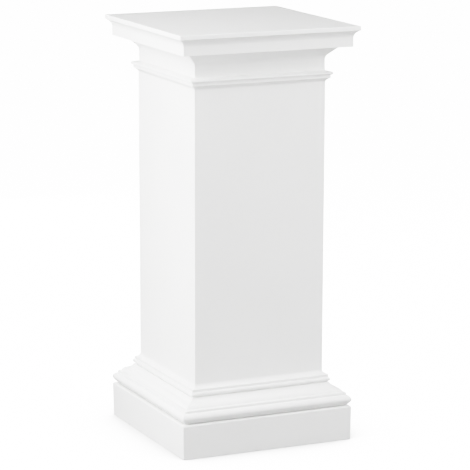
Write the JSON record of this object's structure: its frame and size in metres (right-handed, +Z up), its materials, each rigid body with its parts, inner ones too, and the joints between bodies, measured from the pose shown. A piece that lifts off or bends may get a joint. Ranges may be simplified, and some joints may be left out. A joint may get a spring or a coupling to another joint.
{
  "type": "square column pedestal",
  "caption": "Low square pedestal in Doric style: plinth, moulded base, plain shaft, neck band and moulded cap whose flat top carries a bust, vase or column.",
  "frame": {"origin": "middle of the underside, on the floor", "axes": "+Z up along the shaft; -Y out of the front face; all four faces are alike"},
  "size_m": [0.3676, 0.3676, 0.8],
  "materials": {
    "white_primer": "factory-primed white, smooth and slightly satin, on moulded rigid foam"
  },
  "bodies": {
    "root": {"pedestal": "white_primer"}
  },
  "joints": []
}
